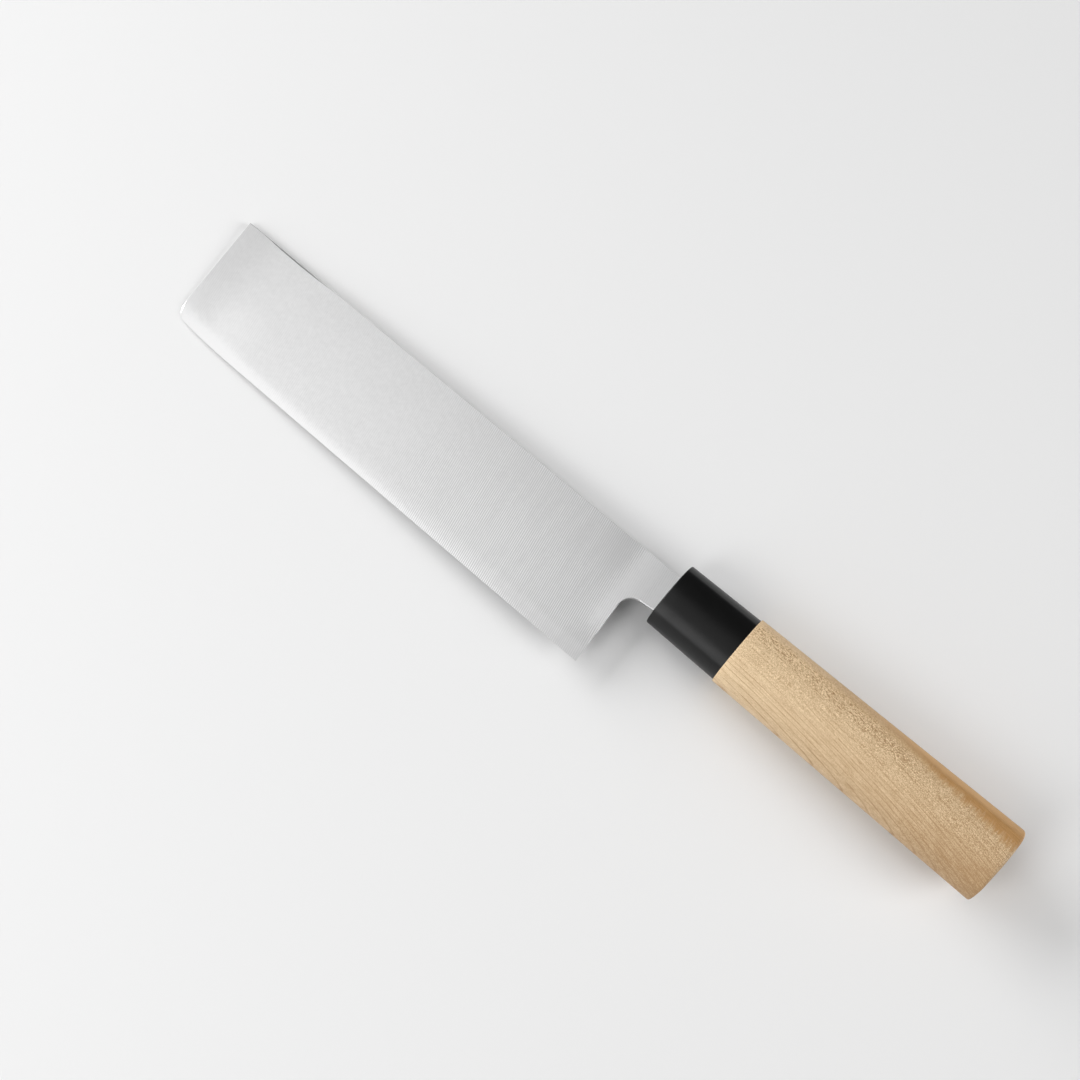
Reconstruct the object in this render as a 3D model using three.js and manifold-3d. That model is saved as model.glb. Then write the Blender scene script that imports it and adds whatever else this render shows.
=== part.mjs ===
// Usuba: a square-ended Japanese vegetable knife with a plain wooden handle, lying on its right side.
// One steel forging makes blade, neck and tang. A moulded sleeve closes the front of the wooden handle,
// and the tang is bedded in resin in a tapered hole in the wood.
// Millimetres. In the knife's own frame X runs from the tip to the butt, Y from the edge to the spine
// and Z through the thickness; the origin is the tip end of the spine line, halfway through the steel.
import * as THREE from 'three';
import { mergeVertices } from 'three/addons/utils/BufferGeometryUtils.js';
import Module from 'manifold-3d';

// Blade outline
const BLADE_LENGTH = 164;          // tip corner to heel corner
const HEEL_HEIGHT = 38.55;         // spine to edge at the heel
const FRONT_HEIGHT = 37.4;         // spine to edge, the straight edge carried on to the tip
const SPINE_DROP = 0.2;            // the spine eases down by this much to the tip corner
const SPINE_DROP_LENGTH = 20;
const FRONT_RAKE = 2.3;            // the front end leans back by this much from spine to edge
const CORNER_HEIGHT = 4.6;         // the front end turns into the edge over this height
const CORNER_LENGTH = 4.2;         // and this length
const BELLY_LENGTH = 24;           // the edge lifts towards the tip over this length
const BELLY_RISE = 1.4;
const HEEL_SET = 1.4;              // the heel corner stands this far behind the throat of the notch
const NOTCH_RADIUS = 4.5;
const NECK_LENGTH = 8;             // heel corner to the front of the ferrule
const NECK_HEIGHT = 12.4;          // at the ferrule
const NECK_FLARE = 0.5;            // the neck deepens by this much towards the notch

// Blade thickness
const HEEL_THICKNESS = 2;          // of the spine above the heel, and of the whole neck
const TIP_THICKNESS = 1.5;         // of the spine at the tip
const FACE_TAPER = 0.029;          // thickness lost per millimetre from the spine towards the edge
const EDGE_BAND = 5.5;             // the faces round over to the edge in this last stretch
const EDGE_THICKNESS = 0.12;
const SPINE_EASE = 0.2;            // broken corners of the spine
const RELIEF_LENGTH = 38;          // shallow hollow touched into the left corner of the spine, near the tip
const RELIEF_DEPTH = 0.55;
const RELIEF_START = 1.5;

// Tang
const TANG_LENGTH = 78;            // from the front of the ferrule
const TANG_ROOT_HEIGHT = 9.6;
const TANG_END_HEIGHT = 5;
const TANG_ROOT_THICKNESS = 1.6;
const TANG_END_THICKNESS = 1.1;

// Handle and ferrule
const AXIS_DROP = 5.6;             // handle axis below the spine line
const FERRULE_LENGTH = 25.6;
const FERRULE_FRONT_HEIGHT = 21.2;
const FERRULE_FRONT_THICKNESS = 17;
const FERRULE_BACK_HEIGHT = 22;
const FERRULE_BACK_THICKNESS = 18;
const FERRULE_WALL = 2.2;
const FERRULE_FRONT_WALL = 3;
const FERRULE_RIM = 0.4;           // rounding of the ferrule's front edge
const WOOD_LENGTH = 95;            // behind the ferrule
const WOOD_STEP = 0.5;             // the wood stands proud of the ferrule all round
const BUTT_HEIGHT = 25.5;
const BUTT_THICKNESS = 20.6;
const BUTT_ROUND = 1.3;
const BUTT_LEAN = 0.7;             // the butt is sawn longer by this much on the spine side
const OVAL_FULLNESS = 2.2;         // 2 is an ellipse, larger is fuller at the shoulders
const OVAL_SIDES = 64;

// Fits
const FIT = 0.3;                   // clearance wherever one piece sits in or against another
const BEDDING = 0.9;               // resin wall round the tang

// Densities in g/mm3, for the balance point
const STEEL_DENSITY = 0.0078;
const SLEEVE_DENSITY = 0.0012;
const WOOD_DENSITY = 0.0005;
const RESIN_DENSITY = 0.00115;

// Places along the knife
const throatX = BLADE_LENGTH - HEEL_SET;
const mouthX = BLADE_LENGTH + NECK_LENGTH;
const neckEndX = mouthX + FERRULE_FRONT_WALL;
const tenonX = neckEndX + FIT;
const ferruleEndX = mouthX + FERRULE_LENGTH;
const shoulderX = ferruleEndX + FIT;
const buttX = ferruleEndX + WOOD_LENGTH;
const tangEndX = mouthX + TANG_LENGTH;

const OVERRUN = 1;                 // tools run past the surface they cut by this much
const FULLEST_BLANK = HEEL_THICKNESS + OVERRUN;

const wasm = await Module();
wasm.setup();

// A closed three.js geometry as a solid for joining and cutting, and back again.
function solid(geometry) {
  const bare = geometry.clone();
  bare.deleteAttribute('normal');
  bare.deleteAttribute('uv');
  const merged = mergeVertices(bare, 1e-5);
  return new wasm.Manifold(new wasm.Mesh({
    numProp: 3,
    vertProperties: new Float32Array(merged.attributes.position.array),
    triVerts: new Uint32Array(merged.index.array),
  }));
}

function geometryOf(body) {
  const mesh = body.getMesh();
  const geometry = new THREE.BufferGeometry();
  geometry.setAttribute('position', new THREE.BufferAttribute(new Float32Array(mesh.vertProperties), 3));
  geometry.setIndex(new THREE.BufferAttribute(new Uint32Array(mesh.triVerts), 1));
  return geometry;
}

// A loft through rings of equally many points, each ring at one X and running from +Y towards +Z,
// closed by a flat cap at both ends. A leaning ring moves along X by that share of its height.
function loft(rings) {
  const count = rings[0].points.length;
  const positions = rings.flatMap(({ x, points, lean = 0 }) => (
    points.flatMap(([y, z]) => [x + lean * (y + AXIS_DROP), y, z])));
  const index = [];
  for (let r = 0; r + 1 < rings.length; r++) {
    for (let i = 0; i < count; i++) {
      const a = r * count + i;
      const b = r * count + (i + 1) % count;
      index.push(a, b, b + count, a, b + count, a + count);
    }
  }
  const flat = (ring) => ring.points.map(([y, z]) => new THREE.Vector2(y, z));
  const cap = (ring) => THREE.ShapeUtils.triangulateShape(flat(ring), []);
  const last = (rings.length - 1) * count;
  for (const [a, b, c] of cap(rings[0])) index.push(a, c, b);
  for (const [a, b, c] of cap(rings.at(-1))) index.push(last + a, last + b, last + c);
  const geometry = new THREE.BufferGeometry();
  geometry.setAttribute('position', new THREE.BufferAttribute(new Float32Array(positions), 3));
  geometry.setIndex(index);
  return geometry;
}

// Full oval of the handle, centred on the handle's axis.
function oval(x, height, thickness) {
  const squeeze = (v) => Math.sign(v) * Math.abs(v) ** (2 / OVAL_FULLNESS);
  const points = Array.from({ length: OVAL_SIDES }, (_, i) => {
    const angle = (2 * Math.PI * i) / OVAL_SIDES;
    return [height / 2 * squeeze(Math.cos(angle)) - AXIS_DROP, thickness / 2 * squeeze(Math.sin(angle))];
  });
  return { x, points };
}

// Rectangle on the handle's axis.
function bar(x, height, thickness) {
  const [y, z] = [height / 2, thickness / 2];
  return { x, points: [[y, -z], [y, z], [-y, z], [-y, -z]].map(([a, b]) => [a - AXIS_DROP, b]) };
}

// Thickness of the spine, and height of spine and edge, along the blade.
const spineThickness = (x) => (
  THREE.MathUtils.lerp(TIP_THICKNESS, HEEL_THICKNESS, Math.min(x / BLADE_LENGTH, 1)));
const spineY = (x) => -SPINE_DROP * Math.max(0, 1 - x / SPINE_DROP_LENGTH) ** 2;
const straightEdgeY = (x) => -THREE.MathUtils.mapLinear(x, 0, BLADE_LENGTH, FRONT_HEIGHT, HEEL_HEIGHT);
const edgeY = (x) => straightEdgeY(x) + BELLY_RISE * Math.max(0, 1 - x / BELLY_LENGTH) ** 2;

// The blank's outline: front end, spine, neck, notch, heel, edge and belly.
function bladeOutline() {
  const cornerEndX = FRONT_RAKE + CORNER_LENGTH;
  const frontEndY = edgeY(FRONT_RAKE) + CORNER_HEIGHT;
  const frontX = (y) => FRONT_RAKE * y / edgeY(FRONT_RAKE);
  const throatY = -NECK_HEIGHT - NECK_FLARE;
  const bellyMiddle = (cornerEndX + BELLY_LENGTH) / 2;
  const shape = new THREE.Shape();
  shape.moveTo(0, spineY(0));
  shape.quadraticCurveTo(SPINE_DROP_LENGTH / 2, 0, SPINE_DROP_LENGTH, 0);
  shape.lineTo(neckEndX, 0);
  shape.lineTo(neckEndX, -NECK_HEIGHT);
  shape.lineTo(mouthX, -NECK_HEIGHT);
  shape.lineTo(throatX + NOTCH_RADIUS, throatY);
  shape.quadraticCurveTo(throatX, throatY, throatX, throatY - NOTCH_RADIUS);
  shape.lineTo(BLADE_LENGTH, -HEEL_HEIGHT);
  shape.lineTo(BELLY_LENGTH, edgeY(BELLY_LENGTH));
  shape.quadraticCurveTo(bellyMiddle, straightEdgeY(bellyMiddle), cornerEndX, edgeY(cornerEndX));
  shape.quadraticCurveTo(FRONT_RAKE, edgeY(FRONT_RAKE), frontX(frontEndY), frontEndY);
  return shape;
}

// One cross-section of the ground steel: flat tapering faces that round over to a thin edge.
function grindSection(x) {
  const half = (y) => (spineThickness(x) + FACE_TAPER * y) / 2;
  const bandSteps = 5;
  const top = spineY(x);
  const bottom = edgeY(x);
  const side = [
    [top + OVERRUN, half(top) - SPINE_EASE],
    [top, half(top) - SPINE_EASE],
    [top - SPINE_EASE, half(top - SPINE_EASE)],
  ];
  for (let i = 0; i <= bandSteps; i++) {
    const share = 1 - i / bandSteps;
    const y = bottom + EDGE_BAND * share;
    const round = 1 - (1 - share) ** 2;
    side.push([y, THREE.MathUtils.lerp(EDGE_THICKNESS / 2, half(y), round)]);
  }
  side.push([bottom - OVERRUN, EDGE_THICKNESS / 2]);
  return { x, points: [...side, ...side.toReversed().map(([y, z]) => [y, -z])] };
}

// A lens-shaped hollow where a wheel touched the left corner of the spine, leaning halfway
// between the spine and the face.
function spineRelief() {
  const radius = RELIEF_LENGTH ** 2 / (8 * RELIEF_DEPTH);
  const reach = Math.asin(RELIEF_LENGTH / radius);
  const segment = new THREE.Shape();
  segment.absarc(0, radius, radius, -Math.PI / 2 - reach, -Math.PI / 2 + reach, false);
  const wheel = new THREE.ExtrudeGeometry(segment, {
    depth: 2 * FULLEST_BLANK, bevelEnabled: false, curveSegments: 24,
  });
  const middle = RELIEF_START + RELIEF_LENGTH / 2;
  wheel.translate(0, -RELIEF_DEPTH, -FULLEST_BLANK);
  wheel.rotateX(Math.PI / 4);
  wheel.translate(middle, 0, spineThickness(middle) / 2);
  return wheel;
}

function bladeGeometry() {
  const blank = new THREE.ExtrudeGeometry(bladeOutline(), {
    depth: FULLEST_BLANK, bevelEnabled: false, curveSegments: 10,
  });
  blank.translate(0, 0, -FULLEST_BLANK / 2);
  const frontStations = [0.2, 0.35, 0.5, 0.75, 1].map((share) => share * BELLY_LENGTH);
  const stations = [-OVERRUN, 0, ...frontStations, BLADE_LENGTH, neckEndX + OVERRUN];
  const ground = solid(loft(stations.map(grindSection)));
  const tang = solid(loft([
    bar(neckEndX - OVERRUN, TANG_ROOT_HEIGHT, TANG_ROOT_THICKNESS),
    bar(tangEndX, TANG_END_HEIGHT, TANG_END_THICKNESS),
  ]));
  return geometryOf(solid(blank).intersect(ground).subtract(solid(spineRelief())).add(tang));
}

// Outer section of the ferrule at a place along it, less a wall where one is given.
function ferruleSection(x, wall = 0) {
  const at = (front, back) => THREE.MathUtils.mapLinear(x, mouthX, ferruleEndX, front, back);
  return oval(x, at(FERRULE_FRONT_HEIGHT, FERRULE_BACK_HEIGHT) - 2 * wall,
    at(FERRULE_FRONT_THICKNESS, FERRULE_BACK_THICKNESS) - 2 * wall);
}

// Moulded sleeve: open behind for the wood, closed in front but for the slot that the neck passes.
function ferruleGeometry() {
  const rim = { ...ferruleSection(mouthX, FERRULE_RIM), x: mouthX };
  const body = solid(loft([rim, ferruleSection(mouthX + FERRULE_RIM), ferruleSection(ferruleEndX)]));
  const cavity = solid(loft([
    ferruleSection(mouthX + FERRULE_FRONT_WALL, FERRULE_WALL),
    ferruleSection(ferruleEndX + OVERRUN, FERRULE_WALL),
  ]));
  const slotLength = FERRULE_FRONT_WALL + 2 * OVERRUN;
  const slot = new THREE.BoxGeometry(slotLength, NECK_HEIGHT + 2 * FIT, HEEL_THICKNESS + 2 * FIT);
  slot.translate(mouthX + FERRULE_FRONT_WALL / 2, -NECK_HEIGHT / 2, 0);
  return geometryOf(body.subtract(cavity).subtract(solid(slot)));
}

// Tang section grown by a margin all round, for what is fitted over it.
function tangSection(x, margin) {
  const at = (root, end) => THREE.MathUtils.mapLinear(x, neckEndX, tangEndX, root, end);
  return bar(x, at(TANG_ROOT_HEIGHT, TANG_END_HEIGHT) + 2 * margin,
    at(TANG_ROOT_THICKNESS, TANG_END_THICKNESS) + 2 * margin);
}

// Wooden handle: an oval that swells to a rounded butt, with a tenon for the ferrule and a hole for the tang.
function handleGeometry() {
  const frontHeight = FERRULE_BACK_HEIGHT + 2 * WOOD_STEP;
  const frontThickness = FERRULE_BACK_THICKNESS + 2 * WOOD_STEP;
  const section = (x, inset) => {
    const at = (front, back) => THREE.MathUtils.mapLinear(x, shoulderX, buttX, front, back) - 2 * inset;
    return oval(x, at(frontHeight, BUTT_HEIGHT), at(frontThickness, BUTT_THICKNESS));
  };
  const buttSteps = 4;
  const rings = [section(shoulderX, 0)];
  for (let i = 0; i <= buttSteps; i++) {
    const angle = (Math.PI / 2) * (i / buttSteps);
    const ring = section(buttX - BUTT_ROUND * (1 - Math.sin(angle)), BUTT_ROUND * (1 - Math.cos(angle)));
    rings.push({ ...ring, lean: BUTT_LEAN / BUTT_HEIGHT });
  }
  const grip = solid(loft(rings));
  const tenon = solid(loft([
    ferruleSection(tenonX, FERRULE_WALL + FIT),
    ferruleSection(shoulderX + OVERRUN, FERRULE_WALL + FIT),
  ]));
  const margin = BEDDING + 2 * FIT;
  const hole = solid(loft([tangSection(tenonX - OVERRUN, margin), tangSection(tangEndX + margin, margin)]));
  return geometryOf(grip.add(tenon).subtract(hole));
}

// Resin that fills the hole in the wood round the tang, as a sheath closed at its inner end.
function beddingGeometry() {
  const outside = BEDDING + FIT;
  const sheath = solid(loft([tangSection(tenonX, outside), tangSection(tangEndX + outside, outside)]));
  const core = solid(loft([tangSection(tenonX - OVERRUN, FIT), tangSection(tangEndX + FIT, FIT)]));
  return geometryOf(sheath.subtract(core));
}

function piece(name, geometry, color, roughness, metalness) {
  const mesh = new THREE.Mesh(geometry, new THREE.MeshStandardMaterial({ color, roughness, metalness }));
  mesh.name = name;
  return mesh;
}

const blade = piece('blade', bladeGeometry(), 0xc9cacb, 0.34, 1);
const ferrule = piece('ferrule', ferruleGeometry(), 0x161616, 0.42, 0);
const handle = piece('handle', handleGeometry(), 0xd4b68c, 0.62, 0);
const bedding = piece('tang_bedding', beddingGeometry(), 0xa9823f, 0.5, 0);

// Corners of a mesh, and its mass with its mass moment, summed over the tetrahedra to the origin.
function corners(mesh) {
  const position = mesh.geometry.attributes.position;
  const corner = (_, i) => new THREE.Vector3().fromBufferAttribute(position, i);
  return Array.from({ length: position.count }, corner);
}

function massMoment(mesh, density) {
  const points = corners(mesh);
  const index = mesh.geometry.index.array;
  const moment = new THREE.Vector3();
  let mass = 0;
  for (let i = 0; i < index.length; i += 3) {
    const [a, b, c] = [points[index[i]], points[index[i + 1]], points[index[i + 2]]];
    const share = density * a.dot(new THREE.Vector3().crossVectors(b, c)) / 6;
    mass += share;
    moment.addScaledVector(a.clone().add(b).add(c), share / 4);
  }
  return { mass, moment };
}

// The direction that points up when the knife lies still on its right side. From lying flat it tips,
// by ever smaller steps, over its lowest point towards the side where its balance point overhangs.
function restingUp() {
  const sums = [
    massMoment(blade, STEEL_DENSITY),
    massMoment(ferrule, SLEEVE_DENSITY),
    massMoment(handle, WOOD_DENSITY),
    massMoment(bedding, RESIN_DENSITY),
  ];
  const mass = sums.reduce((total, sum) => total + sum.mass, 0);
  const balance = new THREE.Vector3();
  for (const { moment } of sums) balance.addScaledVector(moment, 1 / mass);
  const points = [blade, ferrule, handle].flatMap(corners);
  const firstStep = 0.02;
  const lastStep = 1e-7;
  const shrink = 0.99;
  const up = new THREE.Vector3(0, 0, 1);
  for (let step = firstStep; step > lastStep; step *= shrink) {
    const lowest = points.reduce((low, point) => (point.dot(up) < low.dot(up) ? point : low));
    const overhang = balance.clone().sub(lowest);
    overhang.addScaledVector(up, -overhang.dot(up)).normalize();
    up.addScaledVector(overhang, -step).normalize();
  }
  return up;
}

const knife = new THREE.Group();
knife.add(blade, ferrule, handle, bedding);
knife.quaternion.setFromUnitVectors(restingUp(), new THREE.Vector3(0, 0, 1));

// The origin is on the table, under the middle of the knife.
knife.updateMatrixWorld(true);
const box = new THREE.Box3().setFromObject(knife, true);
const middle = box.getCenter(new THREE.Vector3());
knife.position.set(-middle.x, -middle.y, -box.min.z);

const usuba = new THREE.Group();
usuba.add(knife);

export default usuba;
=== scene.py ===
# A square-ended Japanese vegetable knife with a plain wooden handle, lying on its right side.
# Each piece is modelled in millimetres in the knife's own frame, X from tip to butt, Y from edge to spine
# and Z through the thickness, and is then laid down in its place on the table, in metres.
import math
import bmesh
import bpy
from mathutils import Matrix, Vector


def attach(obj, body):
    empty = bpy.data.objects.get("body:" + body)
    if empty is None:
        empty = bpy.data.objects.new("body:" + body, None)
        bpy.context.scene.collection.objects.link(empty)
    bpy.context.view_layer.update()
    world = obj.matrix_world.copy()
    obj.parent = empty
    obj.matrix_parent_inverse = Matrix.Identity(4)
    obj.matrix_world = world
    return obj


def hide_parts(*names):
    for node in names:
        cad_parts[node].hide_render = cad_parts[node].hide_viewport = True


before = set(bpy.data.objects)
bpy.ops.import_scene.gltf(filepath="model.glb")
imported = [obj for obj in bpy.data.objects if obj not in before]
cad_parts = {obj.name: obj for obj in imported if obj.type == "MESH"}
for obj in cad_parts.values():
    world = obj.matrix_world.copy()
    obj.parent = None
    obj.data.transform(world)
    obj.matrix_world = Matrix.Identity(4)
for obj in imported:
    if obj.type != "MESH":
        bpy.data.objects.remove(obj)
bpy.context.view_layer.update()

# Blade
# One piece of stainless steel makes the blade, the neck and the hidden tang. It is cut from a flat blank,
# both faces are ground thinner towards the tip and the edge, and the last stretch rounds over to the edge.
blade_length = 164.0
heel_height = 38.55
front_height = 37.4
front_lean = 2.3
front_share = 0.873
corner_end_x = 6.5
belly_length = 24.0
belly_rise = 1.4
drop_length = 20.0
drop_depth = 0.2
heel_thickness = 2.0
tip_thickness = 1.5
face_taper = 0.029
face_lean = (heel_thickness - tip_thickness) / blade_length / 2
edge_thickness = 0.12
edge_band = 5.5
spine_ease = 0.2
front_ease = 0.05
rim_ease = 0.12
throat_radius = 4.5
mouth_x = 172.0
neck_end_x = 175.0
neck_height = 12.4
tang_length = 75.0
tang_root_y = -3.54
tang_height, tang_thickness = 9.6, 1.6
tang_end_height, tang_end_thickness = 5.0, 1.1
handle_axis_y = -5.6


def straight_edge(x):
    return -(front_height + (heel_height - front_height) * x / blade_length)


def lifted_edge(x):
    """Height of the edge with its lift towards the tip."""
    return straight_edge(x) + belly_rise * max(0, 1 - x / belly_length) ** 2


def half_thickness(x, y):
    along = min(x / blade_length, 1)
    return (tip_thickness + (heel_thickness - tip_thickness) * along + face_taper * y) / 2


def shave(point, normal):
    """Grinds off what stands proud of a plane."""
    bpy.ops.mesh.select_all(action="SELECT")
    facing = Vector(normal).normalized()
    bpy.ops.mesh.bisect(plane_co=point, plane_no=facing, use_fill=True, clear_outer=True)


def score(point, normal):
    """Divides the faces along a plane, so that the ground surface shades evenly."""
    bpy.ops.mesh.select_all(action="SELECT")
    bpy.ops.mesh.bisect(plane_co=point, plane_no=Vector(normal).normalized())


def tangents(start, control, end, steps):
    """Points of a smooth bend in the outline, each with the direction that points out of the steel."""
    start, control, end = Vector(start), Vector(control), Vector(end)
    for step in range(steps + 1):
        t = step / steps
        point = (1 - t) ** 2 * start + 2 * t * (1 - t) * control + t * t * end
        way = (1 - t) * (control - start) + t * (end - control)
        yield point, Vector((way.y, -way.x)).normalized()


def round_over(point, outwards, band, passes):
    """Grinds both faces over to the edge, in passes that get steeper towards it."""
    def surface(x, y):
        depth = (point - Vector((x, y))).dot(outwards)
        share = min(depth / band, 1)
        rise = half_thickness(x, y) - edge_thickness / 2
        return edge_thickness / 2 + rise * (1 - (1 - share) ** 2)

    reach = 0.01
    for step in range(passes):
        x, y = point - outwards * band * (step + 0.5) / passes
        slope_x = (surface(x + reach, y) - surface(x - reach, y)) / (2 * reach)
        slope_y = (surface(x, y + reach) - surface(x, y - reach)) / (2 * reach)
        for side in (1, -1):
            shave((x, y, side * surface(x, y)), (-slope_x, -slope_y, side))


def ease(point, outwards, amount):
    """Breaks the two sharp corners along one stretch of the outline."""
    x, y = point - outwards * amount
    for side in (1, -1):
        normal = (outwards.x - face_lean, outwards.y - face_taper / 2, side)
        shave((x, y, side * half_thickness(x, y)), normal)


def pick(piece, kind, test):
    """Selects the faces or the edges of a piece that pass a test."""
    bpy.ops.mesh.select_mode(type=kind)
    bpy.ops.mesh.select_all(action="DESELECT")
    shape = bmesh.from_edit_mesh(piece.data)
    for part in shape.faces if kind == "FACE" else shape.edges:
        part.select = test(part)
    shape.select_flush_mode()
    bmesh.update_edit_mesh(piece.data)


def block(middle, size):
    """A block of the given size, as a blank or as a tool to cut with."""
    bpy.ops.object.select_all(action="DESELECT")
    bpy.ops.mesh.primitive_cube_add(size=1, location=middle)
    made = bpy.context.object
    made.scale = size
    bpy.ops.object.transform_apply(location=True, rotation=False, scale=True)
    return made


def cut_away(piece, tool):
    """Takes the shape of a tool out of a piece, and puts the tool away."""
    cut = piece.modifiers.new("cut", "BOOLEAN")
    cut.operation = "DIFFERENCE"
    cut.object = tool
    bpy.ops.object.select_all(action="DESELECT")
    bpy.context.view_layer.objects.active = piece
    piece.select_set(True)
    bpy.ops.object.modifier_apply(modifier="cut")
    bpy.data.objects.remove(tool)


blade = block((neck_end_x / 2, -20, 0), (neck_end_x + 10, 44, 4))
blade.name = "ground_blade"
bpy.ops.object.mode_set(mode="EDIT")

# Outline, from the neck's end over the spine and the front end to the heel
shave((neck_end_x, 0, 0), (1, 0, 0))
shave((0, 0, 0), (0, 1, 0))
spine_drop = list(tangents((drop_length, 0), (drop_length / 2, 0), (0, -drop_depth), 5))
for point, outwards in spine_drop[1:]:
    shave((point.x, point.y, 0), (outwards.x, outwards.y, 0))
edge_way = Vector((blade_length, heel_height - front_height)).normalized()
edge_out = Vector((-edge_way.y, -edge_way.x))
shave((0, -front_height, 0), (edge_out.x, edge_out.y, 0))
front_corner = Vector((front_lean, lifted_edge(front_lean)))
front_end = front_corner * front_share
shave((front_end.x, front_end.y, 0), (front_corner.y, -front_corner.x, 0))
corner_end = Vector((corner_end_x, lifted_edge(corner_end_x)))
corner = list(tangents(front_end, front_corner, corner_end, 7))
belly_middle_x = (corner_end_x + belly_length) / 2
belly_middle = (belly_middle_x, straight_edge(belly_middle_x))
belly_end = (belly_length, straight_edge(belly_length))
belly = list(tangents(corner_end, belly_middle, belly_end, 6))
for point, outwards in corner[1:] + belly[1:-1]:
    shave((point.x, point.y, 0), (outwards.x, outwards.y, 0))

# Flat faces, and the round-over along the edge, the belly and the front corner
for side in (1, -1):
    shave((0, 0, side * half_thickness(0, 0)), (-face_lean, -face_taper / 2, side))
    shave((neck_end_x, 0, side * heel_thickness / 2), (0, -face_taper / 2, side))
round_over(Vector((80, straight_edge(80))), edge_out, edge_band, 9)
for point, outwards in belly[:-1]:
    round_over(point, outwards, edge_band, 6)
for turn, (point, outwards) in enumerate(corner[2:-1]):
    round_over(point, outwards, edge_band * (turn + 1) / 7, 5)

# Corners of the spine and of the front end, broken by hand
for point, outwards in spine_drop:
    ease(point, outwards, spine_ease)
ease(front_end, corner[0][1], front_ease)
bpy.ops.object.mode_set(mode="OBJECT")


# Notch behind the heel, with a round throat
def throat(edge):
    """Tells the inner corner of the notch, between the heel and the neck."""
    return all(vert.co.x < 163.5 and vert.co.y > -20 for vert in edge.verts)


notch = block((172, -32, 0), (24, 48, 10))
bpy.ops.object.mode_set(mode="EDIT")
shave((blade_length, -heel_height, 0), (-20.9, -1.4, 0))
shave((mouth_x, -neck_height, 0), (-0.5, 4.9, 0))
pick(notch, "EDGE", throat)
bpy.ops.mesh.bevel(offset=throat_radius, segments=16, profile=0.5)
bpy.ops.object.mode_set(mode="OBJECT")
cut_away(blade, notch)

# Shallow hollow where a wheel touched the left corner of the spine, near the tip
relief_length = 38.0
relief_depth = 0.55
relief_x = 20.5
wheel_radius = relief_length ** 2 / (8 * relief_depth)
wheel_up = (wheel_radius - relief_depth) * math.sqrt(0.5)
wheel_middle = (relief_x, wheel_up, half_thickness(relief_x, 0) + wheel_up)
bpy.ops.mesh.primitive_cylinder_add(
    vertices=1024, radius=wheel_radius, depth=6, location=wheel_middle, rotation=(math.radians(45), 0, 0))
cut_away(blade, bpy.context.object)

# Even divisions along and across the blade, then the tang drawn out behind the neck
bpy.ops.object.mode_set(mode="EDIT")
for x in range(4, 172, 4):
    score((x, 0, 0), (1, 0, 0))
for depth in (5.7, 6.4, 8, 12, 18, 25, 32):
    score((0, -front_height + depth, 0), (edge_out.x, edge_out.y, 0))
bpy.ops.mesh.select_all(action="SELECT")
bpy.ops.mesh.remove_doubles(threshold=0.002)


def notch_rim(edge):
    """Tells the corners round the heel, the notch and the neck's underside, but not at the cutting edge."""
    middle = (edge.verts[0].co + edge.verts[1].co) / 2
    slants = sorted(abs(face.normal.z) for face in edge.link_faces)
    return slants[0] < 0.3 and slants[-1] > 0.9 and middle.x > 162 and -36.2 < middle.y < -12.2


pick(blade, "EDGE", notch_rim)
bpy.ops.mesh.bevel(offset=rim_ease, segments=2, profile=0.5)
pick(blade, "FACE", lambda face: face.calc_center_median().x > neck_end_x - 0.01)
bpy.ops.mesh.extrude_region_move(TRANSFORM_OT_translate={"value": (0, 0, 0)})
bpy.ops.transform.resize(value=(1, tang_height / neck_height, tang_thickness / heel_thickness),
                         center_override=(neck_end_x, tang_root_y, 0))
bpy.ops.mesh.extrude_region_move(TRANSFORM_OT_translate={"value": (tang_length, 0, 0)})
bpy.ops.transform.resize(value=(1, tang_end_height / tang_height, tang_end_thickness / tang_thickness),
                         center_override=(neck_end_x + tang_length, handle_axis_y, 0))
bpy.ops.object.mode_set(mode="OBJECT")

# How the knife lies: on the tip of the blade and on the wood near the butt
knife_turn = (math.radians(1.75222), math.radians(-2.49429), math.radians(-0.03815))
knife_place = (-0.1464077, 0.0158547, 0.001178)
millimetres = (0.001, 0.001, 0.001)


def lay_down(piece):
    """Brings a piece from the knife's own millimetres to where it lies on the table, in metres."""
    bpy.ops.object.select_all(action="DESELECT")
    bpy.context.view_layer.objects.active = piece
    piece.select_set(True)
    piece.scale = millimetres
    piece.rotation_euler = knife_turn
    piece.location = knife_place
    bpy.ops.object.transform_apply(location=True, rotation=True, scale=True)
    bpy.ops.object.shade_smooth_by_angle(angle=math.radians(18))


lay_down(blade)


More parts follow.
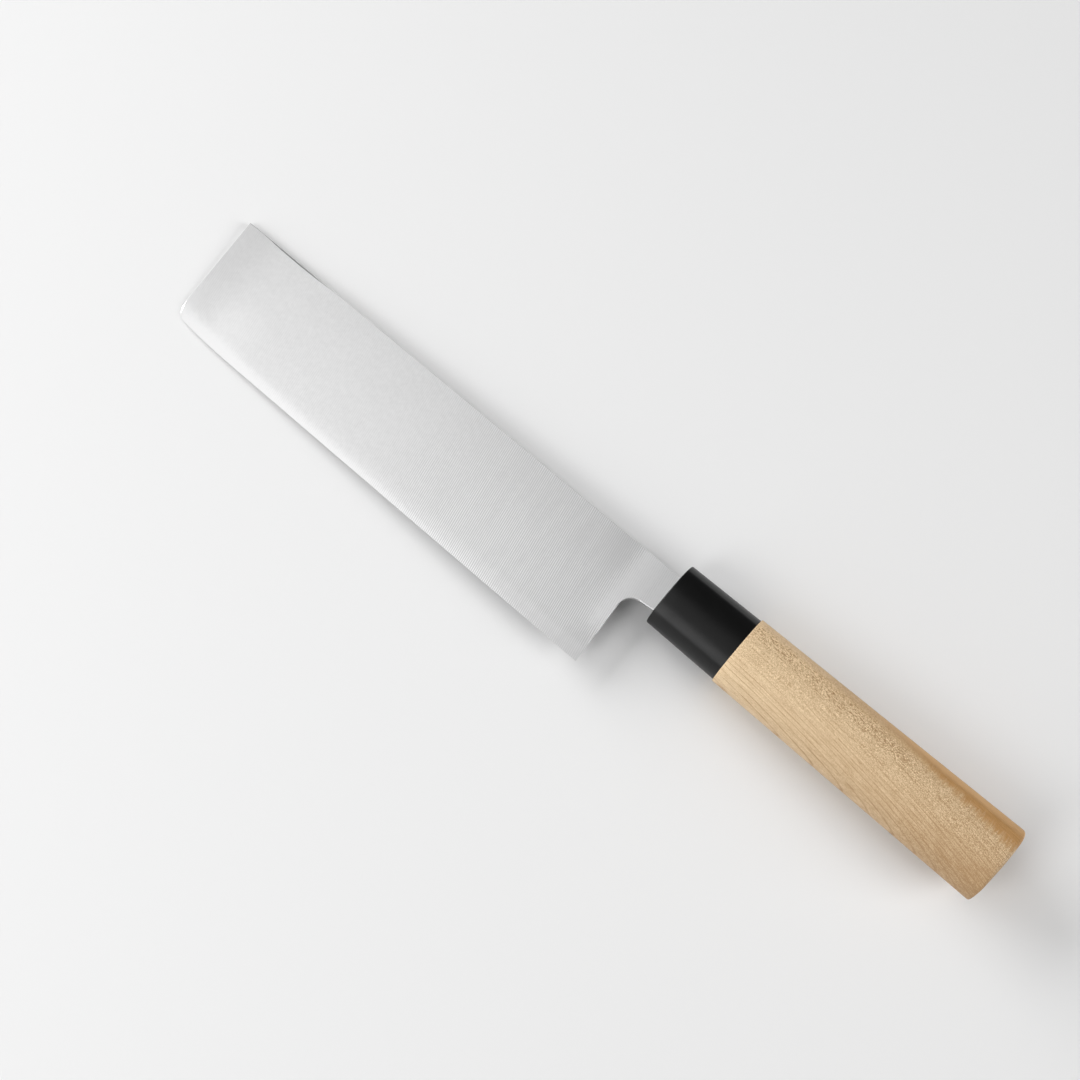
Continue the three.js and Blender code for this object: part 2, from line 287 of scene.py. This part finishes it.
class Wire:
    """A socket of a material. Arithmetic on wires adds Math nodes."""

    def __init__(self, tree, socket=None):
        self.tree = tree
        self.socket = socket

    def node(self, kind, settings, sockets, output=0):
        """Any node: its settings are set first, then its sockets are set or linked."""
        made = self.tree.nodes.new(kind)
        for name, value in settings.items():
            setattr(made, name, value)
        for name, value in sockets.items():
            socket = next(each for each in made.inputs if name in (each.identifier, each.name))
            if isinstance(value, Wire):
                self.tree.links.new(value.socket, socket)
            else:
                socket.default_value = value
        return Wire(self.tree, made.outputs[output])

    def math(self, operation, first, second=0.0):
        return self.node("ShaderNodeMath", {"operation": operation}, {"Value": first, "Value_001": second})

    def __add__(self, other):
        return self.math("ADD", self, other)

    def __radd__(self, other):
        return self.math("ADD", other, self)

    def __sub__(self, other):
        return self.math("SUBTRACT", self, other)

    def __rsub__(self, other):
        return self.math("SUBTRACT", other, self)

    def __mul__(self, other):
        return self.math("MULTIPLY", self, other)

    def __rmul__(self, other):
        return self.math("MULTIPLY", other, self)

    def clamp(self, low, high):
        return self.node("ShaderNodeClamp", {}, {"Value": self, "Min": low, "Max": high})

    def noise(self, waves, detail):
        """Uneven grain, with so many waves per millimetre along each axis. It lies round 0."""
        spread = self.node("ShaderNodeVectorMath", {"operation": "MULTIPLY"},
                           {"Vector": self, "Vector_001": waves})
        return self.node("ShaderNodeTexNoise", {}, {"Vector": spread, "Scale": 1, "Detail": detail}) - 0.5

    def bump(self, depth):
        """A normal for a surface that rises and falls with this wire, so many metres deep."""
        return self.node("ShaderNodeBump", {}, {"Height": self, "Distance": depth})

    def into(self, shader, name):
        self.tree.links.new(self.socket, shader.inputs[name])

    def step(self, low, high):
        """Rises smoothly from 0 at low to 1 at high."""
        return self.node("ShaderNodeMapRange", {"interpolation_type": "SMOOTHSTEP"},
                         {"Value": self, "From Min": low, "From Max": high})

    def tint(self, first, second):
        """A colour that goes from the first to the second as this wire goes from 0 to 1."""
        return self.node("ShaderNodeMix", {"data_type": "RGBA"},
                         {"Factor_Float": self, "A_Color": first, "B_Color": second}, 2)


def knife_finish(name):
    """A new material: its Principled shader, and the knife's own millimetres as X, Y and Z."""
    material = bpy.data.materials.new(name)
    material.use_nodes = True
    tree = material.node_tree
    start = Wire(tree)
    place = start.node("ShaderNodeTexCoord", {}, {}, 3)
    own = start.node(
        "ShaderNodeMapping", {"vector_type": "TEXTURE"},
        {"Vector": place, "Location": knife_place, "Rotation": knife_turn, "Scale": millimetres})
    axes = [start.node("ShaderNodeSeparateXYZ", {}, {"Vector": own}, axis) for axis in range(3)]
    return material, tree.nodes["Principled BSDF"], own, axes


# Satin steel: fine slanted grinding lines, clearest at the heel, in a soft cloudy grey
steel_dark = (0.645, 0.644, 0.645, 1)
steel_light = (0.9, 0.899, 0.9, 1)
shade_and_cut_grey = (0.22, 0.22, 0.22, 1)
line_pitch = 0.64
steel, steel_shader, steel_place, (steel_x, steel_y, steel_z) = knife_finish("ground_steel")
clouds = steel_place.noise((0.05, 0.09, 0.1), 3)
wobble = steel_place.noise((0.4, 0.06, 0.1), 1)
steel_specks = steel_place.noise((0.9, 0.9, 0.9), 1)
slanted = steel_x + steel_y * 0.18 + wobble * 0.3
lines = slanted.math("SINE", slanted * (2 * math.pi / line_pitch))
towards_heel = 0.12 + 0.88 * steel_x.step(70, 125)
clear = towards_heel * (1 - steel_y.step(-24, -8) * 0.3) * (1 - steel_x.step(154, 162) * 0.4)
hatch = lines * clear

# Painted highlights: a brighter band and a bright line along the edge and the front corner
lift = steel_x.clamp(0, belly_length) * (-1 / belly_length) + 1
edge_slope = (heel_height - front_height) / blade_length
edge_depth = steel_y + front_height + steel_x * edge_slope - lift * lift * belly_rise
corner_depth = steel_x - 1.3 + (steel_y + 31) * 0.9
depth = edge_depth.math("MINIMUM", edge_depth, corner_depth)
band = (1 - (edge_depth * (0.2 + steel_x * 0.003)).step(0.2, 1.4)) * (1 - steel_x.step(125, 158))
rim = 1 - depth.step(0.15, 0.6)

# Painted light over the front of the blade, at the tip and at the front corner, and painted shade over the
# heel half and along the heel's edge; the neck is lighter and a patch before it darker
painted_front_light = steel_x.step(4, 18) - steel_x.step(20, 140)
painted_tip_highlight = (steel_x.step(4, 16) - steel_x.step(16, 32)) * (1 - steel_y.step(-28, -14))
painted_corner_highlight = 1 - corner_depth.step(0, 12)
lighter_neck = steel_x.step(152, 162) * steel_y.step(-32, -23)
darker_patch = steel_y.step(-15, -5) * (steel_x.step(145, 152) - steel_x.step(155, 160))
painted_heel_edge_shade = steel_x.step(115, 145) * (1 - depth.step(1, 8))
painted_heel_half_shade = steel_x.step(80, 125)
painted_light_and_lighter_neck = band * 0.42 + rim * 0.05 + painted_front_light * 0.33 + painted_tip_highlight * 0.17 + painted_corner_highlight * 0.25 + lighter_neck * 0.85
painted_shade_and_darker_patch = darker_patch * 0.3 + painted_heel_edge_shade * 0.42 + painted_heel_half_shade * 0.11
tone = 0.32 + hatch * (0.85 + wobble * 1.2) + clouds * 0.25 + steel_specks * 0.35 + painted_light_and_lighter_neck - painted_shade_and_darker_patch

# Painted shade in the hollow where the wheel touched the spine, and a darker, rougher finish on the coarse
# cut of the front end
below_face = half_thickness(0, 0) + steel_x * face_lean + steel_y * (face_taper / 2) - steel_z
hollow_reach = steel_y.step(-3, -2) * (1 - steel_y.step(-0.3, -0.1)) * (1 - steel_x.step(24, 36))
hollow = below_face.step(0.02, 0.08) * hollow_reach
front_depth = steel_x - steel_y * (front_corner.x / front_corner.y)
front = 1 - front_depth.step(0.02, 0.12)
shade_and_cut = hollow * 0.85 + front * 0.6
shade_and_cut.tint(tone.tint(steel_dark, steel_light), shade_and_cut_grey).into(steel_shader, "Base Color")
(0.31 + clouds * 0.06 + front * 0.35).into(steel_shader, "Roughness")
hatch.bump(0.000002).into(steel_shader, "Normal")
steel_shader.inputs["Metallic"].default_value = 0.85
blade.data.materials.append(steel)
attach(blade, "root")
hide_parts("blade")

# Resin
# Hardened amber resin that fills the hole in the wood round the tang and holds the knife together.
# It is poured in before the tang is driven home, and nothing of it shows.
resin_dark = (0.32, 0.19, 0.06, 1)
resin_light = (0.52, 0.36, 0.14, 1)
resin, resin_shader, resin_place = knife_finish("amber_resin")[:3]
swirl = resin_place.noise((0.3, 0.8, 0.8), 2)
(0.5 + swirl).tint(resin_dark, resin_light).into(resin_shader, "Base Color")
(0.3 + swirl * 0.2).into(resin_shader, "Roughness")
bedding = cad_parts["tang_bedding"]
bedding.data.materials.clear()
bedding.data.materials.append(resin)

# Ferrule
# A black moulded sleeve with an oval section, pushed onto the front of the handle. It is closed in front
# but for the slot that the neck passes, and the wood fills it from behind.
ferrule_length = 25.6
ferrule_front = (21.2, 17.0)
ferrule_inner = (21.3, 17.1)
ferrule_back = (22.0, 18.0)
ferrule_wall = 2.2
ferrule_front_wall = 3.0
ferrule_rim = 0.4
slot_play = 0.3
ferrule_end_x = mouth_x + ferrule_length


def oval(name, x, size):
    """A full oval across the handle's axis, as a flat face to be drawn out."""
    bpy.ops.object.select_all(action="DESELECT")
    bpy.ops.mesh.primitive_circle_add(vertices=128, radius=1, fill_type="NGON")
    piece = bpy.context.object
    piece.name = name
    fuller = piece.modifiers.new("fuller", "CAST")
    fuller.cast_type = "CUBOID"
    fuller.factor = 0.085
    fuller.use_z = False
    bpy.ops.object.modifier_apply(modifier="fuller")
    piece.scale = (size[0] / 2, size[1] / 2, 1)
    piece.rotation_euler = (math.radians(90), 0, math.radians(90))
    piece.location = (x, handle_axis_y, 0)
    bpy.ops.object.transform_apply(location=True, rotation=True, scale=True)
    return piece


def draw_out(x, length, size, new_size, steps=1):
    """Draws the selected end face out along the handle's axis to a new size."""
    for step in range(steps):
        before = [a + (b - a) * step / steps for a, b in zip(size, new_size)]
        after = [a + (b - a) * (step + 1) / steps for a, b in zip(size, new_size)]
        bpy.ops.mesh.extrude_region_move(TRANSFORM_OT_translate={"value": (length / steps, 0, 0)})
        bpy.ops.transform.resize(value=(1, after[0] / before[0], after[1] / before[1]),
                                 center_override=(x, handle_axis_y, 0))


ferrule = oval("oval_ferrule", mouth_x, ferrule_front)
bpy.ops.object.mode_set(mode="EDIT")
bpy.ops.mesh.select_all(action="SELECT")
draw_out(mouth_x, ferrule_length, ferrule_front, ferrule_back, 6)
cavity_back = [across - 2 * ferrule_wall for across in ferrule_back]
cavity_front = [across - 2 * ferrule_wall for across in ferrule_inner]
draw_out(ferrule_end_x, 0, ferrule_back, cavity_back)
draw_out(ferrule_end_x, ferrule_front_wall - ferrule_length, cavity_back, cavity_front, 6)
bpy.ops.mesh.select_all(action="SELECT")
bpy.ops.mesh.normals_make_consistent(inside=False)
pick(ferrule, "EDGE", lambda edge: all(abs(vert.co.x - mouth_x) < 0.01 for vert in edge.verts))
bpy.ops.mesh.bevel(offset=ferrule_rim, segments=6, profile=0.5)
bpy.ops.object.mode_set(mode="OBJECT")
slot_middle = (mouth_x + ferrule_front_wall / 2, -neck_height / 2, 0)
cut_away(ferrule, block(slot_middle, (5, neck_height + slot_play, heel_thickness + slot_play)))
lay_down(ferrule)

# Satin black: a fine moulded grain and a little unevenness in the sheen
black_deep = (0.0015, 0.0015, 0.0015, 1)
black_worn = (0.005, 0.005, 0.005, 1)
black, black_shader, black_place = knife_finish("satin_black")[:3]
mould_grain = black_place.noise((6, 6, 6), 2)
sheen = black_place.noise((0.15, 0.4, 0.4), 2)
(0.5 + mould_grain).tint(black_deep, black_worn).into(black_shader, "Base Color")
(0.37 + sheen * 0.1 + mould_grain * 0.05).into(black_shader, "Roughness")
mould_grain.bump(0.000006).into(black_shader, "Normal")
black_shader.inputs["Specular IOR Level"].default_value = 0.32
ferrule.data.materials.append(black)
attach(ferrule, "root")
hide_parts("ferrule")

# Handle
# One piece of pale magnolia wood, oval and swelling a little towards the butt. Its tenon fills the ferrule,
# and the tang sits in a tapered hole in it. The wood is left bare.
wood_length = 95.0
wood_front = (23.0, 19.0)
butt_size = (25.45, 20.56)
butt_lean = math.atan(0.7 / 25.5)
butt_rounding = 1.3
least_rounding = 0.35
shoulder_ease = 0.25
shoulder_gap = 0.02
tenon_play = 0.3
hole_middle = (213, handle_axis_y, 0)
hole_length = 77.0
hole_mouth = (12.6, 4.6)
hole_end = (8.0, 4.1)
butt_x = ferrule_end_x + wood_length
handle = oval("wooden_handle", ferrule_end_x + shoulder_gap, wood_front)
bpy.ops.object.mode_set(mode="EDIT")
bpy.ops.mesh.select_all(action="SELECT")
draw_out(ferrule_end_x, wood_length - shoulder_gap, wood_front, butt_size, 24)
bpy.ops.transform.rotate(value=butt_lean, orient_axis="Z", center_override=(butt_x, handle_axis_y, 0))
bpy.ops.mesh.select_all(action="SELECT")
bpy.ops.mesh.normals_make_consistent(inside=False)


def end_rim(edge):
    """Tells the sharp rim of an end of the wood."""
    ends = sorted(abs(face.normal.x) for face in edge.link_faces)
    return ends[0] < 0.5 and ends[-1] > 0.9


# The butt is rounded most on the spine side
butt_shape = bmesh.from_edit_mesh(handle.data)
rounding = butt_shape.edges.layers.float.new("bevel_weight_edge")
for edge in butt_shape.edges:
    if end_rim(edge) and edge.verts[0].co.x > butt_x - 5:
        edge[rounding] = min(1, max(least_rounding, 1 + (edge.verts[0].co.y + 10) * 0.12))
bmesh.update_edit_mesh(handle.data)
bpy.ops.object.mode_set(mode="OBJECT")
butt_round = handle.modifiers.new("butt_round", "BEVEL")
butt_round.limit_method = "WEIGHT"
butt_round.width = butt_rounding
butt_round.use_clamp_overlap = False
butt_round.segments = 8
bpy.ops.object.modifier_apply(modifier="butt_round")
bpy.ops.object.mode_set(mode="EDIT")
pick(handle, "EDGE", lambda edge: end_rim(edge) and edge.verts[0].co.x < ferrule_end_x + 5)
bpy.ops.mesh.bevel(offset=shoulder_ease, segments=3, profile=0.5)

# Tenon in front, and the hole for the tang, wider than the tang by the resin round it
pick(handle, "FACE", lambda face: face.normal.x < -0.99)
shoulder = [across - 2 * shoulder_ease for across in wood_front]
tenon_back = [across - 2 * tenon_play for across in cavity_back]
tenon_front = [across - 2 * tenon_play for across in cavity_front]
tenon_length = ferrule_length - ferrule_front_wall - tenon_play
draw_out(ferrule_end_x, 0, shoulder, tenon_back)
draw_out(ferrule_end_x, -tenon_length, tenon_back, tenon_front, 6)
bpy.ops.object.mode_set(mode="OBJECT")
hole = block(hole_middle, (hole_length, hole_end[0], hole_end[1]))
bpy.ops.object.mode_set(mode="EDIT")
pick(hole, "FACE", lambda face: face.normal.x < -0.9)
bpy.ops.transform.resize(value=(1, hole_mouth[0] / hole_end[0], hole_mouth[1] / hole_end[1]),
                         center_override=hole_middle)
bpy.ops.object.mode_set(mode="OBJECT")
cut_away(handle, hole)
lay_down(handle)

# Bare wood: thin growth lines that curve across the handle, clearest on the edge side, and fine fibres
wood_pale = (0.92, 0.725, 0.47, 1)
wood_late = (0.40, 0.24, 0.11, 1)
wood_warm = (0.5, 0.27, 0.09, 1)
fleck_brown = (0.3, 0.15, 0.05, 1)
streak_core = (0.39, 0.195, 0.056, 1)
streak_rim = (0.64, 0.375, 0.155, 1)
wood, wood_shader, wood_place, (wood_x, wood_y, wood_z) = knife_finish("bare_magnolia")
along = wood_x - ferrule_end_x
wander = wood_place.noise((0.02, 0.15, 0.15), 1)
growth = wood_y - wood_z * 0.12 + along * 0.05 + along * along * 0.0008 + wander * 0.5
grain = growth.node("ShaderNodeCombineXYZ", {}, {"X": wood_x, "Y": growth, "Z": wood_z})
fibre = grain.noise((0.12, 3, 3), 1)
blotches = grain.noise((0.3, 0.6, 0.6), 1)
strength = grain.noise((0.025, 0.8, 0.8), 1)
ring = growth.math("FRACT", growth * 0.83)
line = ring.step(0.7, 0.84) - ring.step(0.84, 0.93)
clearness = (1 - wood_y.step(-11, -3) * 0.5) * (1 - wood_x.step(215, 255) * 0.2)
late = line * clearness * (0.8 + strength * 2)

# Pores all over, closest in a band beside the spine where the cut crosses the rays, with a few flecks there
pores = grain.noise((3, 4, 4), 0)
band_side = wood_y - 1.7 + (wood_x.clamp(205, 265) - 205) * 0.045
band_width = 1 - band_side.math("ABSOLUTE", band_side).step(0.5, 3.8)
fleck_band = band_width * (1 - wood_x.step(246, 266) * 0.85)
fleck_share = fleck_band * 0.6 + wood_y.step(-10, -3) * 0.15
flecks = grain.noise((1.1, 2.6, 2.6), 0).step(0.08, 0.2) * fleck_share
porous = 0.6 + wood_y.step(-12, -4) * 0.75 + fleck_band * 0.95

# Painted shade darkens the wood towards the butt, most on the edge side, and painted light makes it paler
# beside the spine in front
painted_butt_shade = along * 0.0027 * (1.75 - wood_y.step(-15, -5) * 0.75)
painted_spine_light = wood_y.step(0, 4) * (1 - wood_x.step(205, 240))
painted_butt_edge_shade = wood_x.step(255, 290) * (1 - wood_y.step(-8, 0))
figure = late * 0.42 + fibre * 0.62 + pores * porous * 0.95 + blotches * 0.14
shade = 0.41 + figure + painted_butt_shade - painted_spine_light * 0.26 + painted_butt_edge_shade * 0.07
# Warmer and darker towards the spine side: partly the wood's own colour, partly painted shade near the
# outline
warmth_and_shade = (wood_y.step(0, 6) * 0.4).tint(shade.tint(wood_pale, wood_late), wood_warm)
flecked = flecks.tint(warmth_and_shade, fleck_brown)

# A brown streak with a fringed side starts at the spine and widens to the butt; paler at the spine's
# outline by painted rim light, less so at the butt
comb = wood_place.noise((1.7, 0.3, 0.3), 1) * wood_x.step(245, 270)
streak_side = wood_y - 5.3 + (wood_x - 235) * 0.106 + wander * 0.8 + comb * 6
streak = streak_side.step(-1.9, 2) * wood_x.step(215, 270)
painted_rim_light = wood_y.step(3.4, 5.6) * (1 - wood_x.step(272, 292) * 0.4)
brown = (0.23 + fibre * 1.2 + pores * 0.6 + painted_rim_light).tint(streak_core, streak_rim)
(streak * 0.95).tint(flecked, brown).into(wood_shader, "Base Color")
(0.6 + fibre * 0.15).into(wood_shader, "Roughness")
(fibre * 0.4 + pores * 0.2 - late * 0.3).bump(0.00002).into(wood_shader, "Normal")
handle.data.materials.append(wood)
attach(handle, "root")
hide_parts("handle")

# Table and light
# A plain pale table under five soft studio lamps: a panel over the blade, a panel beside the edge,
# and three low, wide lamps that fill in from the tip, the butt and the edge. Far from the knife the table
# turns to an even pale tone, for the camera and for reflections, and so does the room behind it.
table_grey = (0.83, 0.83, 0.83, 1)
far_grey = (0.82, 0.82, 0.82, 1)
camera_output, reflection_output = 0, 3
bpy.ops.object.select_all(action="DESELECT")
bpy.ops.mesh.primitive_plane_add(size=6, location=(0, 0, -0.0002))
table = bpy.context.object
table.name = "pale_table"
paint = bpy.data.materials.new("pale_paint")
paint.use_nodes = True
paint_shader = paint.node_tree.nodes["Principled BSDF"]
paint_shader.inputs["Base Color"].default_value = table_grey
paint_shader.inputs["Roughness"].default_value = 0.9
near_paint = Wire(paint.node_tree, paint_shader.outputs[0])
far_paint = near_paint.node("ShaderNodeEmission", {}, {"Color": far_grey})
table_seen = near_paint.node("ShaderNodeLightPath", {}, {}, camera_output)
table_mirrored = near_paint.node("ShaderNodeLightPath", {}, {}, reflection_output)
spot = near_paint.node("ShaderNodeNewGeometry", {}, {})
away = near_paint.node("ShaderNodeVectorMath", {"operation": "LENGTH"}, {"Vector": spot}, 1)
far_share = away.step(0.32, 0.75) * (table_seen + table_mirrored)
painted = near_paint.node("ShaderNodeMixShader", {},
                          {"Fac": far_share, "Shader": near_paint, "Shader_001": far_paint})
painted.into(paint.node_tree.nodes["Material Output"], "Surface")
table.data.materials.append(paint)

room = bpy.data.worlds.new("dim_room")
room.use_nodes = True
backdrop = room.node_tree.nodes["Background"]
backdrop.inputs["Color"].default_value = (1, 1, 1, 1)
room_start = Wire(room.node_tree)
room_seen = room_start.node("ShaderNodeLightPath", {}, {}, camera_output)
room_mirrored = room_start.node("ShaderNodeLightPath", {}, {}, reflection_output)
(0.02 + room_seen * 0.8 + room_mirrored * 0.03).into(backdrop, "Strength")
bpy.context.scene.world = room
for name, tilt, around, far, width, power in (
        ("panel_over_blade", 20.5, 194, 1.0, 0.6, 1.2),
        ("panel_beside_edge", 44, 254, 1.0, 0.4, 2.3),
        ("fill_from_tip", 72, 180, 1.7, 1.36, 38.0),
        ("fill_from_butt", 60, 20, 1.6, 0.96, 16.0),
        ("fill_from_edge", 74, 240, 1.7, 1.36, 12.0)):
    tilt = math.radians(tilt)
    around = math.radians(around)
    flat = math.sin(tilt)
    place = far * Vector((flat * math.cos(around), flat * math.sin(around), math.cos(tilt)))
    aim = place.to_track_quat("Z", "Y").to_euler()
    bpy.ops.object.light_add(type="AREA", location=place, rotation=aim)
    lamp = bpy.context.object
    lamp.name = name
    lamp.data.size = width
    lamp.data.energy = power

bpy.context.scene.view_settings.view_transform = "Standard"
camera_place = (0.04866, -0.10075, 0.54701)
camera_turn = (math.radians(12.0573), math.radians(-1.789), math.radians(40.7252))
bpy.ops.object.camera_add(location=camera_place, rotation=camera_turn)
camera = bpy.context.object
camera.data.sensor_width = 36
camera.data.lens = 62.495
bpy.context.scene.camera = camera
